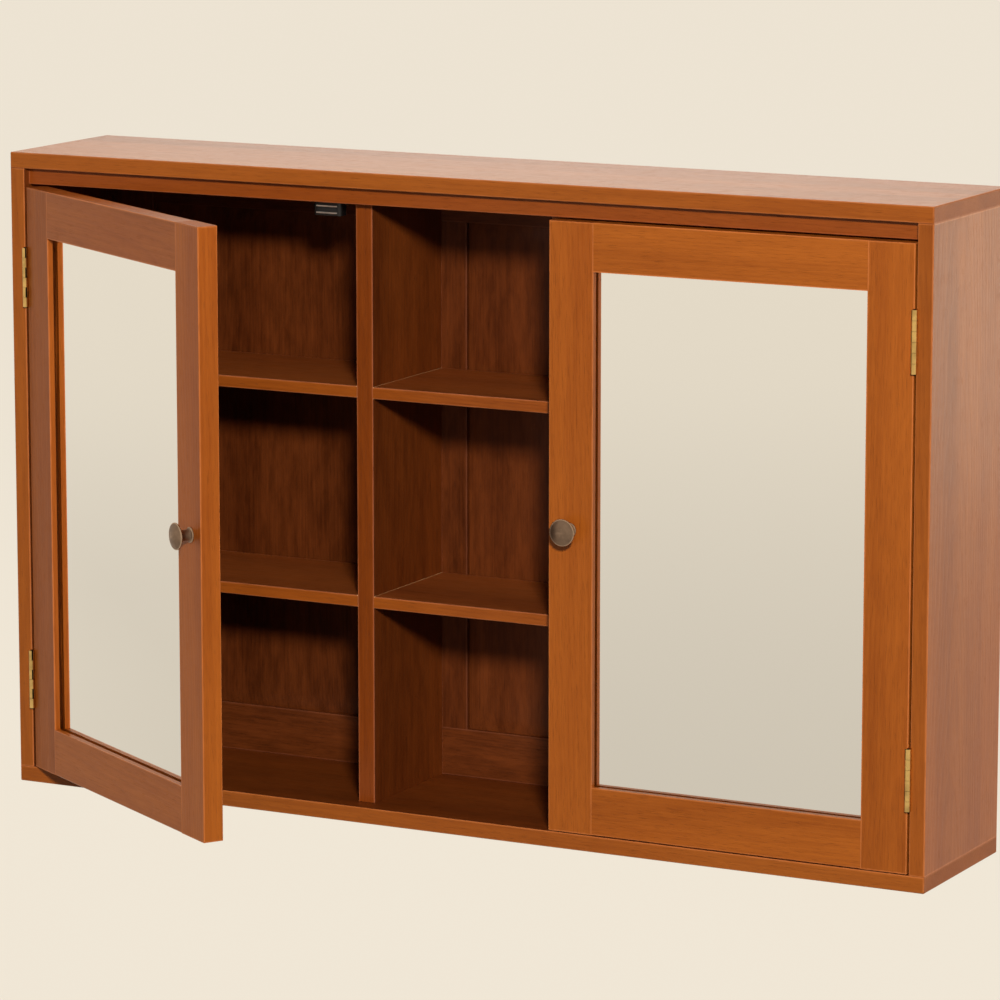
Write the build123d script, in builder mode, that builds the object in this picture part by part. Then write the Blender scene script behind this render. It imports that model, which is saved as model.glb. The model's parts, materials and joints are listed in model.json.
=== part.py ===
from build123d import *
import os
from math import cos, radians, sin

# Wall-hung bathroom cabinet in teak: two framed mirror doors either side of an open middle bay.
# X runs along the width, +Y goes into the wall and +Z is up. The origin is on the wall plane,
# in the middle of the four wall screw holes. The left door stands ajar, the right one is closed.

# Carcass
cabinet_width = 1000.0
cabinet_height = 646.0
cabinet_depth = 180.0
board_thickness = 16.0
partition_thickness = 18.0
middle_bay_width = 196.0
shelf_thickness = 12.0
shelf_levels = 2
head_rail_height = 16.5
head_rail_depth = 41.0
head_rail_setback = 9.0
arris_radius = 1.2

# Joinery of the carcass
housing_depth = 4.0
housing_stop = 8.0
dowel_radius = 4.0
dowel_in_board = 10.0
dowel_in_side = 18.0
dowel_clearance = 0.1
dowels_per_corner = 3
dowel_edge_distance = 35.0

# Frame-and-panel back
back_frame_thickness = 15.0
back_rail_width = 49.0
back_end_stile_width = 50.0
muntin_width = 74.0
groove_width = 5.0
groove_depth = 6.0
groove_setback = 6.0
panel_edge_gap = 0.5
panel_field_height = 3.5
panel_bevel_width = 16.0

# Wall screw holes, in the back rails
wall_screw_spacing = 810.0
wall_screw_radius = 2.75
wall_screw_head_radius = 5.5
countersink_angle = 90.0

# Doors
door_thickness = 21.0
door_side_gap = 2.0
door_top_gap = 2.0
door_bottom_gap = 1.0
door_stop_gap = 1.0
door_lap = 10.0
stile_width = 47.0
rail_width = 47.0
door_arris_radius = 1.0
tenon_length = 24.0
tenon_height = 26.0
tenon_thickness = 7.0
tenon_setback = 6.0
mirror_setback = 6.0
mirror_thickness = 4.0
mirror_edge_gap = 1.0
backing_thickness = 3.0
rebate_width = 8.0
bead_end_gap = 0.2
left_door_ajar = 32.0
right_door_ajar = 0.0

# Butt hinges
hinge_length = 60.0
hinge_inset = 61.0
knuckle_count = 6
knuckle_gap = 0.3
barrel_radius = 2.9
barrel_clearance = 0.4
roll_gap = 1.8
frame_roll_gap_angle = 50.0
door_roll_gap_angle = 130.0
pin_radius = 1.2
pin_clearance = 0.05
pin_proud = 2.0
pin_tip = 0.5
leaf_thickness = 1.2
leaf_depth = 18.0
leaf_gap = 0.2
hinge_screw_pitch = 20.0
hinge_screw_stagger = 2.5
hinge_screw_length = 12.0
hinge_screw_radius = 1.5
hinge_screw_head_radius = 2.9

# Knobs
knob_latch_distance = 22.0
knob_base_radius = 7.7
knob_neck_radius = 5.2
knob_disc_radius = 13.2
knob_flange_height = 1.4
knob_waist_height = 7.0
knob_flare_radius = 9.0
knob_rim_height = 16.4
knob_rim_thickness = 2.2
knob_rim_step = 1.2
knob_dome_height = 3.6
knob_screw_radius = 2.0
knob_screw_head_radius = 4.0
knob_screw_grip = 10.0

# Magnetic catches
catch_width = 31.0
catch_height = 14.5
catch_depth = 14.0
catch_corner_radius = 4.0
catch_ear_width = 46.0
catch_ear_thickness = 2.5
catch_ear_depth = 10.0
catch_partition_distance = 33.0
pole_plate_width = 23.0
pole_plate_thickness = 1.4
pole_plate_depth = 11.0
pole_plate_pitch = 6.6
pole_plate_proud = 0.8
magnet_inset = 1.5
strike_width = 28.0
strike_height = 12.0
strike_thickness = 1.0
strike_gap = 0.3
small_screw_radius = 1.3
small_screw_head_radius = 2.5
small_screw_length = 10.0
catch_screw_head_height = 1.6
screw_clearance = 0.05
screw_tip_share = 0.25
pan_head_top_share = 0.6
strike_screw_inset = 5.0

# Planes that the pieces share
front_y = -cabinet_depth
side_x = cabinet_width / 2
inner_x = side_x - board_thickness
top_z = cabinet_height / 2
inner_z = top_z - board_thickness
back_y = -back_frame_thickness
partition_y = front_y + door_thickness + door_stop_gap
bay_x = middle_bay_width / 2
bay_outer_x = bay_x + partition_thickness
partition_x = (bay_x + bay_outer_x) / 2
head_rail_z = inner_z - head_rail_height
head_rail_y = front_y + head_rail_setback
compartment_height = (2 * inner_z - shelf_levels * shelf_thickness) / (shelf_levels + 1)

door_top_z = head_rail_z - door_top_gap
door_bottom_z = -inner_z + door_bottom_gap
door_middle_z = (door_top_z + door_bottom_z) / 2
pin_x = inner_x - door_side_gap / 2
pin_y = front_y - pin_proud
hinge_reach = hinge_inset + hinge_length / 2
hinge_heights = (door_top_z - hinge_reach, door_bottom_z + hinge_reach)
knuckle_pitch = hinge_length / knuckle_count
catch_x = bay_outer_x + catch_partition_distance
strike_back_y = front_y + door_thickness + strike_thickness
plate_front_y = strike_back_y + strike_gap
catch_front_y = plate_front_y + pole_plate_proud
catch_middle_z = head_rail_z - catch_ear_thickness - (catch_height - catch_ear_thickness) / 2

SIDES = (("left", -1), ("right", 1))


def block(low, high, mode=Mode.ADD):
    """A box between two opposite corners, in the frame of the part being built."""
    middle = tuple((a + b) / 2 for a, b in zip(low, high))
    size = tuple(abs(b - a) for a, b in zip(low, high))
    with Locations(middle):
        Box(*size, mode=mode)


def save(piece, label):
    """Names a finished piece and writes it."""
    piece.part.label = label
    export_step(piece.part, f"parts/{label}.step")


def shelf_bottom(level):
    """Height of the underside of a shelf; level 0 is the lowest."""
    return -inner_z + compartment_height + level * (compartment_height + shelf_thickness)


def cut_shelf_housings(face_x, into):
    """Stopped grooves for the shelf ends; they go in from face_x towards the sign of into."""
    for level in range(shelf_levels):
        low = shelf_bottom(level)
        block(
            (face_x, partition_y + housing_stop, low),
            (face_x + into * housing_depth, back_y, low + shelf_thickness),
            mode=Mode.SUBTRACT,
        )


def dowel_places():
    """Depths of the dowels along a corner of the carcass."""
    first = front_y + dowel_edge_distance
    step = (cabinet_depth - 2 * dowel_edge_distance) / (dowels_per_corner - 1)
    return [first + step * index for index in range(dowels_per_corner)]


def dowel_axis_points(hand, end):
    """Where the dowels of one corner cross from the board into the side."""
    x = hand * (inner_x + side_x) / 2
    return [(x, y, end * inner_z) for y in dowel_places()]


def cut_dowel_holes(hand, end, depth, into):
    """Blind holes of one corner, drilled along Z from the meeting faces."""
    for x, y, z in dowel_axis_points(hand, end):
        with Locations((x, y, z + into * depth / 2)):
            Cylinder(dowel_radius + dowel_clearance, depth, mode=Mode.SUBTRACT)


# --- Top and bottom boards, full width, over and under the sides ---
def end_board(label, end):
    """The top board (end 1) or the bottom board (end -1)."""
    with BuildPart() as board:
        block((-side_x, front_y, end * inner_z), (side_x, 0, end * top_z))
        outer_face = board.faces().sort_by(Axis.Z)[-1 if end > 0 else 0]
        front_edges = board.faces().sort_by(Axis.Y)[0].edges()
        side_edges = outer_face.edges().filter_by(Axis.Y)
        fillet(front_edges + side_edges, arris_radius)
        for _, hand in SIDES:
            cut_dowel_holes(hand, end, dowel_in_board, end)
            block(
                (hand * bay_x, partition_y + housing_stop, end * inner_z),
                (hand * bay_outer_x, back_y, end * (inner_z + housing_depth)),
                mode=Mode.SUBTRACT,
            )
    save(board, label)


# --- Sides, between the top and the bottom ---
def hinge_side(label, hand):
    """A side, with the shelf housings, the hinge leaf recesses and the room for the barrels."""
    leaf_low = leaf_gap / 2 + leaf_thickness
    with BuildPart() as side:
        block((hand * inner_x, front_y, -inner_z), (hand * side_x, 0, inner_z))
        front_edges = side.faces().sort_by(Axis.Y)[0].edges().filter_by(Axis.Z)
        fillet(front_edges, arris_radius)
        cut_shelf_housings(hand * inner_x, hand)
        for end in (-1, 1):
            cut_dowel_holes(hand, end, dowel_in_side, -end)
        for height in hinge_heights:
            low = height - hinge_length / 2
            high = height + hinge_length / 2
            leaf_face_x = hand * (pin_x + leaf_low)
            block(
                (hand * inner_x, front_y, low),
                (leaf_face_x, pin_y + pin_proud + leaf_depth, high),
                mode=Mode.SUBTRACT,
            )
            with Locations((hand * pin_x, pin_y, height)):
                Cylinder(
                    barrel_radius + barrel_clearance,
                    hinge_length + 2 * barrel_clearance,
                    mode=Mode.SUBTRACT,
                )
            for depth, rise in hinge_screw_places():
                start = (leaf_face_x, pin_y + depth, height + rise)
                cut_pilot(start, hand, hinge_screw_length - leaf_thickness, hinge_screw_radius)
    save(side, label)


def hinge_screw_places():
    """Screw places on a hinge leaf, as depth behind the pin and height from the middle."""
    middle = pin_proud + leaf_depth / 2 + hinge_screw_stagger / 2
    return (
        (middle - hinge_screw_stagger, -hinge_screw_pitch),
        (middle, 0),
        (middle - hinge_screw_stagger, hinge_screw_pitch),
    )


def cut_pilot(start, along_x, depth, radius):
    """A blind pilot hole along the X of the part's own frame."""
    x, y, z = start
    with Locations(Location((x + along_x * depth / 2, y, z), (0, 90, 0))):
        Cylinder(radius + screw_clearance, depth, mode=Mode.SUBTRACT)


# --- Partitions, notched at the top over the head rail ---
def partition(label, hand):
    """A partition, housed in the top and the bottom, with shelf housings on both faces."""
    with BuildPart() as upright:
        block((hand * bay_x, partition_y, -inner_z), (hand * bay_outer_x, back_y, inner_z))
        block(
            (hand * bay_x, partition_y + housing_stop, -inner_z - housing_depth),
            (hand * bay_outer_x, back_y, inner_z + housing_depth),
        )
        block(
            (hand * bay_x, partition_y, head_rail_z),
            (hand * bay_outer_x, head_rail_y + head_rail_depth, inner_z + housing_depth),
            mode=Mode.SUBTRACT,
        )
        cut_shelf_housings(hand * bay_x, hand)
        cut_shelf_housings(hand * bay_outer_x, -hand)
    save(upright, label)


# --- Head rail, set back under the top, that the doors close below ---
def head_rail():
    """The rail under the top board, drilled from below for the catch screws."""
    with BuildPart() as rail:
        block(
            (-inner_x, head_rail_y, head_rail_z),
            (inner_x, head_rail_y + head_rail_depth, inner_z),
        )
        lower_front = rail.faces().sort_by(Axis.Y)[0].edges().sort_by(Axis.Z)[0]
        fillet(lower_front, arris_radius)
        for _, hand in SIDES:
            for x in catch_screw_places(hand):
                with Locations((x, catch_screw_y(), head_rail_z + small_screw_length / 2)):
                    Cylinder(
                        small_screw_radius + screw_clearance,
                        small_screw_length,
                        mode=Mode.SUBTRACT,
                    )
    save(rail, "head_rail")


# --- Shelves ---
def shelf(label, low_x, high_x, level):
    """A shelf with its two ends let into stopped housings."""
    low = shelf_bottom(level)
    high = low + shelf_thickness
    with BuildPart() as board:
        block((low_x, partition_y, low), (high_x, back_y, high))
        front_edges = board.faces().sort_by(Axis.Y)[0].edges().filter_by(Axis.X)
        fillet(front_edges, arris_radius)
        block(
            (low_x - housing_depth, partition_y + housing_stop, low),
            (high_x + housing_depth, back_y, high),
        )
    save(board, label)


# --- Frame-and-panel back ---
def back_frame_piece(label, low_x, high_x, low_z, high_z, tongues, grooves, screw_holes=()):
    """One member of the back frame. tongues and grooves name the edges that carry them."""
    groove_low_y = back_y + groove_setback
    groove_high_y = groove_low_y + groove_width
    reach = {"left": (-1, 0), "right": (1, 0), "bottom": (0, -1), "top": (0, 1)}
    with BuildPart() as member:
        block((low_x, back_y, low_z), (high_x, 0, high_z))
        for edge in tongues:
            across, up = reach[edge]
            block(
                (low_x + min(across, 0) * groove_depth, groove_low_y,
                 low_z + min(up, 0) * groove_depth),
                (high_x + max(across, 0) * groove_depth, groove_high_y,
                 high_z + max(up, 0) * groove_depth),
            )
        for edge in grooves:
            across, up = reach[edge]
            edge_x = high_x if across > 0 else low_x
            edge_z = high_z if up > 0 else low_z
            if across:
                near = (edge_x, low_z - groove_depth)
                far = (edge_x - across * groove_depth, high_z + groove_depth)
            else:
                near = (low_x - groove_depth, edge_z)
                far = (high_x + groove_depth, edge_z - up * groove_depth)
            block(
                (near[0], groove_low_y, near[1]),
                (far[0], groove_high_y, far[1]),
                mode=Mode.SUBTRACT,
            )
        for x, z in screw_holes:
            hole_plane = Plane(origin=(x, back_y, z), x_dir=(1, 0, 0), z_dir=(0, -1, 0))
            with Locations(hole_plane):
                CounterSinkHole(
                    wall_screw_radius,
                    wall_screw_head_radius,
                    back_frame_thickness,
                    countersink_angle,
                )
    save(member, label)


def back_panel(label, low_x, high_x):
    """A fielded panel held in the grooves of the back frame."""
    low_z = -inner_z + back_rail_width
    high_z = inner_z - back_rail_width
    face_y = back_y + groove_setback
    tongue = groove_depth - panel_edge_gap
    middle = ((low_x + high_x) / 2, face_y, (low_z + high_z) / 2)
    face = Plane(origin=middle, x_dir=(1, 0, 0), z_dir=(0, -1, 0))
    width = high_x - low_x
    height = high_z - low_z
    with BuildPart() as panel:
        block(
            (low_x - tongue, face_y, low_z - tongue),
            (high_x + tongue, face_y + groove_width, high_z + tongue),
        )
        with BuildSketch(face):
            Rectangle(width, height)
        with BuildSketch(face.offset(panel_field_height)):
            Rectangle(width - 2 * panel_bevel_width, height - 2 * panel_bevel_width)
        loft()
    save(panel, label)


def back():
    """The whole back: end stiles, long rails, muntins behind the partitions, three panels."""
    stile_x = inner_x - back_end_stile_width
    muntin_low = partition_x - muntin_width / 2
    muntin_high = partition_x + muntin_width / 2
    rail_low = inner_z - back_rail_width
    hole_z = inner_z - back_rail_width / 2
    hole_x = wall_screw_spacing / 2
    back_frame_piece("back_left_stile", -inner_x, -stile_x, -inner_z, inner_z, (), ("right",))
    back_frame_piece("back_right_stile", stile_x, inner_x, -inner_z, inner_z, (), ("left",))
    holes = [(-hole_x, hole_z), (hole_x, hole_z)]
    back_frame_piece(
        "back_top_rail", -stile_x, stile_x, rail_low, inner_z,
        ("left", "right"), ("bottom",), holes,
    )
    holes = [(-hole_x, -hole_z), (hole_x, -hole_z)]
    back_frame_piece(
        "back_bottom_rail", -stile_x, stile_x, -inner_z, -rail_low,
        ("left", "right"), ("top",), holes,
    )
    for side, hand in SIDES:
        low_x = min(hand * muntin_low, hand * muntin_high)
        back_frame_piece(
            f"back_{side}_muntin", low_x, low_x + muntin_width, -rail_low, rail_low,
            ("bottom", "top"), ("left", "right"),
        )
    back_panel("back_left_panel", -stile_x, -muntin_high)
    back_panel("back_middle_panel", -muntin_low, muntin_low)
    back_panel("back_right_panel", muntin_high, stile_x)


def corner_dowels():
    """Twelve dowels that join the sides to the top and the bottom."""
    with BuildPart() as dowels:
        for _, hand in SIDES:
            for end in (-1, 1):
                for x, y, z in dowel_axis_points(hand, end):
                    middle_z = z + end * (dowel_in_board - dowel_in_side) / 2
                    with Locations((x, y, middle_z)):
                        Cylinder(dowel_radius, dowel_in_board + dowel_in_side)
    save(dowels, "corner_dowels")


# --- Screws: a place's plane holds the face of the head, and the screw points against its +Z ---
def shank(place, start, radius, length):
    """A screw's shank from the given depth down to its pointed tip."""
    with Locations(place.offset(-(start + length - radius) / 2)):
        Cylinder(radius, length - radius - start)
    with Locations(place.offset(radius / 2 - length)):
        Cone(radius * screw_tip_share, radius, radius)


def screw(place, head_radius, head_height, shank_radius, length):
    """A countersunk screw with the face of its head on the place's plane."""
    with Locations(place.offset(-head_height / 2)):
        Cone(shank_radius, head_radius, head_height)
    shank(place, head_height, shank_radius, length)


def pan_screw(place, head_radius, head_height, shank_radius, length):
    """A screw whose domed head stands on the place's plane, towards its +Z."""
    rim_height = head_height / 2
    with Locations(place.offset(rim_height / 2)):
        Cylinder(head_radius, rim_height)
    with Locations(place.offset(head_height - rim_height / 2)):
        Cone(head_radius, head_radius * pan_head_top_share, head_height - rim_height)
    shank(place, 0, shank_radius, length)


# --- Magnetic catches ---
def catch_screw_places(hand):
    """X of the two screws in the ears of one catch."""
    ear = (catch_width / 2 + catch_ear_width / 2) / 2
    return (hand * catch_x - ear, hand * catch_x + ear)


def catch_screw_y():
    """Depth of the catch screws: the middle of the ears."""
    return catch_front_y + catch_depth / 2


def catch_body(label, hand):
    """The moulded body of a catch with its two ears, open at the front for the pole plates."""
    low_z = head_rail_z - catch_height
    middle_y = catch_front_y + catch_depth / 2
    pocket_height = pole_plate_pitch + pole_plate_thickness
    pocket_back = plate_front_y + pole_plate_depth
    with BuildPart() as body:
        with BuildSketch(Plane.XY.offset(low_z)):
            with Locations((hand * catch_x, middle_y)):
                RectangleRounded(catch_width, catch_depth, catch_corner_radius)
        extrude(amount=catch_height)
        with BuildSketch(Plane.XY.offset(head_rail_z - catch_ear_thickness)):
            with Locations((hand * catch_x, middle_y)):
                SlotOverall(catch_ear_width, catch_ear_depth)
        extrude(amount=catch_ear_thickness)
        block(
            (hand * catch_x - pole_plate_width / 2, catch_front_y,
             catch_middle_z - pocket_height / 2),
            (hand * catch_x + pole_plate_width / 2, pocket_back,
             catch_middle_z + pocket_height / 2),
            mode=Mode.SUBTRACT,
        )
        for x in catch_screw_places(hand):
            with Locations((x, middle_y, head_rail_z - catch_ear_thickness / 2)):
                Cylinder(
                    small_screw_radius + screw_clearance,
                    catch_ear_thickness,
                    mode=Mode.SUBTRACT,
                )
    save(body, label)


def catch_pole_plates():
    """The two steel plates of each catch, either side of its magnet."""
    with BuildPart() as plates:
        for _, hand in SIDES:
            for end in (-1, 1):
                middle_z = catch_middle_z + end * pole_plate_pitch / 2
                block(
                    (hand * catch_x - pole_plate_width / 2, plate_front_y,
                     middle_z - pole_plate_thickness / 2),
                    (hand * catch_x + pole_plate_width / 2, plate_front_y + pole_plate_depth,
                     middle_z + pole_plate_thickness / 2),
                )
    save(plates, "catch_pole_plates")


def catch_magnets():
    """The magnet block between the pole plates of each catch."""
    half_height = (pole_plate_pitch - pole_plate_thickness) / 2
    half_width = pole_plate_width / 2
    with BuildPart() as magnets:
        for _, hand in SIDES:
            block(
                (hand * catch_x - half_width, catch_front_y + magnet_inset,
                 catch_middle_z - half_height),
                (hand * catch_x + half_width, plate_front_y + pole_plate_depth,
                 catch_middle_z + half_height),
            )
    save(magnets, "catch_magnets")


def cabinet_screws():
    """The hinge screws in the sides and the catch screws in the head rail."""
    with BuildPart() as screws:
        for _, hand in SIDES:
            for height in hinge_heights:
                for depth, rise in hinge_screw_places():
                    place = Plane(
                        origin=(hand * (pin_x + leaf_gap / 2), pin_y + depth, height + rise),
                        x_dir=(0, 1, 0),
                        z_dir=(-hand, 0, 0),
                    )
                    screw(
                        place, hinge_screw_head_radius, leaf_thickness,
                        hinge_screw_radius, hinge_screw_length,
                    )
            for x in catch_screw_places(hand):
                place = Plane(
                    origin=(x, catch_screw_y(), head_rail_z - catch_ear_thickness),
                    x_dir=(1, 0, 0),
                    z_dir=(0, 0, -1),
                )
                pan_screw(
                    place, small_screw_head_radius, catch_screw_head_height,
                    small_screw_radius, small_screw_length,
                )
    save(screws, "cabinet_screws")


# --- Hinges ---
def hinge_leaf(label, frame, along, height, own, gap_angle):
    """A leaf on the side that along points to, in a frame on the pin.

    own is 0 or 1: whether it has the even or the odd knuckles, counted from the top. gap_angle
    is the turn from the front to the gap in its knuckles.
    """
    low = height - hinge_length / 2
    near = along * leaf_gap / 2
    far = along * (leaf_gap / 2 + leaf_thickness)
    with BuildPart(frame) as leaf:
        block((near, 0, low), (far, pin_proud + leaf_depth, low + hinge_length))
        for index in range(knuckle_count):
            middle_z = low + hinge_length - (index + 0.5) * knuckle_pitch
            if index % 2 != own:
                with Locations((0, 0, middle_z)):
                    Cylinder(
                        barrel_radius + barrel_clearance,
                        knuckle_pitch + knuckle_gap,
                        mode=Mode.SUBTRACT,
                    )
        for index in range(knuckle_count):
            middle_z = low + hinge_length - (index + 0.5) * knuckle_pitch
            if index % 2 == own:
                with Locations((0, 0, middle_z)):
                    Cylinder(barrel_radius, knuckle_pitch - knuckle_gap)
        with Locations((0, 0, height)):
            Cylinder(pin_radius + pin_clearance, hinge_length, mode=Mode.SUBTRACT)
        for index in range(own, knuckle_count, 2):
            middle_z = low + hinge_length - (index + 0.5) * knuckle_pitch
            cut_roll_gap(along, gap_angle, middle_z)
        for depth, rise in hinge_screw_places():
            cut_leaf_hole(near, along, depth, height + rise)
    save(leaf, label)


def cut_roll_gap(along, gap_angle, middle_z):
    """The gap that a knuckle, rolled from sheet, leaves open on the other leaf's side."""
    reach = barrel_radius + roll_gap / 2
    turned = Location((0, 0, middle_z), (0, 0, -along * gap_angle))
    with Locations(turned * Location((0, -reach / 2, 0))):
        Box(roll_gap, reach, knuckle_pitch, mode=Mode.SUBTRACT)


def cut_leaf_hole(near, along, depth, height):
    """A countersunk hole through a leaf, open towards the other leaf."""
    with Locations(Location((near + along * leaf_thickness / 2, depth, height), (0, 90, 0))):
        if along > 0:
            radii = (hinge_screw_head_radius, hinge_screw_radius)
        else:
            radii = (hinge_screw_radius, hinge_screw_head_radius)
        Cone(
            radii[0] + screw_clearance,
            radii[1] + screw_clearance,
            leaf_thickness,
            mode=Mode.SUBTRACT,
        )


def hinge_pins():
    """The pins of the four hinges, a running fit in their knuckles."""
    with BuildPart() as pins:
        for _, hand in SIDES:
            for height in hinge_heights:
                with Locations((hand * pin_x, pin_y, height)):
                    Cylinder(pin_radius, hinge_length + 2 * pin_tip)
    save(pins, "hinge_pins")


# --- Doors, each in a frame on its hinge pin: X along the door, Y into the cabinet, Z up ---
def door_frame(hand, ajar):
    """The frame of a door that is turned open by ajar degrees about its pin."""
    angle = radians(ajar)
    return Plane(
        origin=(hand * pin_x, pin_y, 0),
        x_dir=(cos(angle), hand * sin(angle), 0),
        z_dir=(0, 0, 1),
    )


hinge_edge = pin_x - inner_x + door_side_gap
latch_edge = pin_x - (bay_outer_x - door_lap)
door_front = pin_proud
door_back = pin_proud + door_thickness
opening_near = hinge_edge + stile_width
opening_far = latch_edge - stile_width
opening_low = door_bottom_z + rail_width
opening_high = door_top_z - rail_width
mirror_front = door_front + mirror_setback
backing_front = mirror_front + mirror_thickness
bead_front = backing_front + backing_thickness


def cut_rebate(out):
    """The rebate round the back of the opening that holds the mirror."""
    block(
        (out * (opening_near - rebate_width), mirror_front, opening_low - rebate_width),
        (out * (opening_far + rebate_width), door_back, opening_high + rebate_width),
        mode=Mode.SUBTRACT,
    )


def tenon(out, edge, into, rail_low, mode=Mode.ADD):
    """A rail's tenon, or its mortice, from the stile's edge."""
    shoulder = (rail_width - tenon_height) / 2
    block(
        (out * edge, door_front + tenon_setback, rail_low + shoulder),
        (out * (edge + into * tenon_length), door_front + tenon_setback + tenon_thickness,
         rail_low + shoulder + tenon_height),
        mode=mode,
    )


def ease_long_edges(piece, across):
    """Rounds the two long arrises on the outer edge of a door member."""
    outer = piece.faces().sort_by(Axis((0, 0, 0), across))[-1]
    long_edges = outer.edges().sort_by(SortBy.LENGTH)[-2:]
    fillet(long_edges, door_arris_radius)


def hinge_stile(label, frame, out):
    """The stile that carries the hinges."""
    with BuildPart(frame) as stile:
        block(
            (out * hinge_edge, door_front, door_bottom_z),
            (out * opening_near, door_back, door_top_z),
        )
        ease_long_edges(stile, frame.x_dir * -out)
        cut_rebate(out)
        for rail_low in (door_bottom_z, door_top_z - rail_width):
            tenon(out, opening_near, -1, rail_low, Mode.SUBTRACT)
        leaf_face = leaf_gap / 2 + leaf_thickness
        for height in hinge_heights:
            block(
                (0, 0, height - hinge_length / 2),
                (out * leaf_face, pin_proud + leaf_depth, height + hinge_length / 2),
                mode=Mode.SUBTRACT,
            )
            with Locations((0, 0, height)):
                Cylinder(
                    barrel_radius + barrel_clearance,
                    hinge_length + 2 * barrel_clearance,
                    mode=Mode.SUBTRACT,
                )
            for depth, rise in hinge_screw_places():
                start = (out * leaf_face, depth, height + rise)
                cut_pilot(start, out, hinge_screw_length - leaf_thickness, hinge_screw_radius)
    save(stile, label)


def latch_stile(label, frame, out):
    """The stile that carries the knob and one end of the strike plate."""
    knob_u = latch_edge - knob_latch_distance
    with BuildPart(frame) as stile:
        block(
            (out * opening_far, door_front, door_bottom_z),
            (out * latch_edge, door_back, door_top_z),
        )
        ease_long_edges(stile, frame.x_dir * out)
        cut_rebate(out)
        for rail_low in (door_bottom_z, door_top_z - rail_width):
            tenon(out, opening_far, 1, rail_low, Mode.SUBTRACT)
        head = knob_screw_head_radius - knob_screw_radius
        along_y = Location((out * knob_u, (door_front + door_back) / 2, door_middle_z), (90, 0, 0))
        with Locations(along_y):
            Cylinder(knob_screw_radius + screw_clearance, door_thickness, mode=Mode.SUBTRACT)
        sunk = Location((out * knob_u, door_back - head / 2, door_middle_z), (90, 0, 0))
        with Locations(sunk):
            Cone(
                knob_screw_head_radius + screw_clearance,
                knob_screw_radius + screw_clearance,
                head,
                mode=Mode.SUBTRACT,
            )
        cut_strike_pilot(out, strike_u() + strike_screw_reach())
    save(stile, label)


def strike_u():
    """Distance of the strike plate from the pin, along the door: level with the catch."""
    return pin_x - catch_x


def strike_screw_reach():
    """Distance of the strike screws from the plate's middle."""
    return strike_width / 2 - strike_screw_inset


def cut_strike_pilot(out, u):
    """The pilot hole of a strike screw in the door's back."""
    middle = Location((out * u, door_back - small_screw_length / 2, catch_middle_z), (90, 0, 0))
    with Locations(middle):
        Cylinder(small_screw_radius + screw_clearance, small_screw_length, mode=Mode.SUBTRACT)


def door_rail(label, frame, out, rail_low, outer, has_strike):
    """A rail between the stiles, with a tenon at each end."""
    with BuildPart(frame) as rail:
        block(
            (out * opening_near, door_front, rail_low),
            (out * opening_far, door_back, rail_low + rail_width),
        )
        ease_long_edges(rail, (0, 0, outer))
        tenon(out, opening_near, -1, rail_low)
        tenon(out, opening_far, 1, rail_low)
        cut_rebate(out)
        if has_strike:
            cut_strike_pilot(out, strike_u() - strike_screw_reach())
    save(rail, label)


def rebate_filler(label, frame, out, low_y, high_y, edge_gap):
    """A sheet in the rebate: the mirror or the board behind it."""
    reach = rebate_width - edge_gap
    with BuildPart(frame) as sheet:
        block(
            (out * (opening_near - reach), low_y, opening_low - reach),
            (out * (opening_far + reach), high_y, opening_high + reach),
        )
    save(sheet, label)


def retaining_beads(label, frame, out):
    """Four strips that fill the rebate behind the backing board, flush with the door's back."""
    near = opening_near - rebate_width
    far = opening_far + rebate_width
    low = opening_low - rebate_width
    high = opening_high + rebate_width
    with BuildPart(frame) as beads:
        for u in (near, opening_far):
            block((out * u, bead_front, low), (out * (u + rebate_width), door_back, high))
        for z in (low, opening_high):
            block(
                (out * (opening_near + bead_end_gap), bead_front, z),
                (out * (opening_far - bead_end_gap), door_back, z + rebate_width),
            )
    save(beads, label)


def knob(label, frame, out):
    """A turned knob: a base flange, a waisted neck and a domed disc with a narrow rim."""
    place = (out * (latch_edge - knob_latch_distance), door_front, door_middle_z)
    base = frame.from_local_coords(place)
    outwards = frame.y_dir * -1
    flange_top = (knob_base_radius, knob_flange_height)
    waist = (knob_neck_radius, knob_waist_height)
    disc_under = (knob_disc_radius - knob_rim_step, knob_rim_height - knob_rim_thickness)
    rim_low = (knob_disc_radius, disc_under[1] + knob_rim_step / 2)
    rim_high = (knob_disc_radius, knob_rim_height)
    dome_edge = (knob_disc_radius - knob_rim_step, knob_rim_height)
    dome_top = (0, knob_rim_height + knob_dome_height)
    dome_radius = (dome_edge[0] ** 2 + knob_dome_height ** 2) / (2 * knob_dome_height)
    with BuildPart() as turned:
        with BuildSketch(Plane(origin=base, x_dir=frame.x_dir, z_dir=(0, 0, -1))):
            with BuildLine():
                Line((0, 0), (knob_base_radius, 0))
                Line((knob_base_radius, 0), flange_top)
                RadiusArc(flange_top, waist, knob_waist_height)
                RadiusArc(waist, disc_under, knob_flare_radius)
                Line(disc_under, rim_low)
                Line(rim_low, rim_high)
                Line(rim_high, dome_edge)
                RadiusArc(dome_edge, dome_top, -dome_radius)
                Line(dome_top, (0, 0))
            make_face()
        revolve(axis=Axis(base, outwards))
        with BuildSketch(Plane(origin=base, x_dir=frame.x_dir, z_dir=outwards)):
            Circle(knob_screw_radius + screw_clearance)
        extrude(amount=knob_screw_grip, mode=Mode.SUBTRACT)
    save(turned, label)


def knob_screw(label, frame, out):
    """The screw that comes through the stile from behind and holds the knob."""
    origin = frame.from_local_coords((out * (latch_edge - knob_latch_distance), door_back,
                                      door_middle_z))
    place = Plane(origin=origin, x_dir=frame.x_dir, z_dir=frame.y_dir)
    head = knob_screw_head_radius - knob_screw_radius
    with BuildPart() as bolt:
        screw(
            place, knob_screw_head_radius, head, knob_screw_radius,
            door_thickness + knob_screw_grip,
        )
    save(bolt, label)


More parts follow.
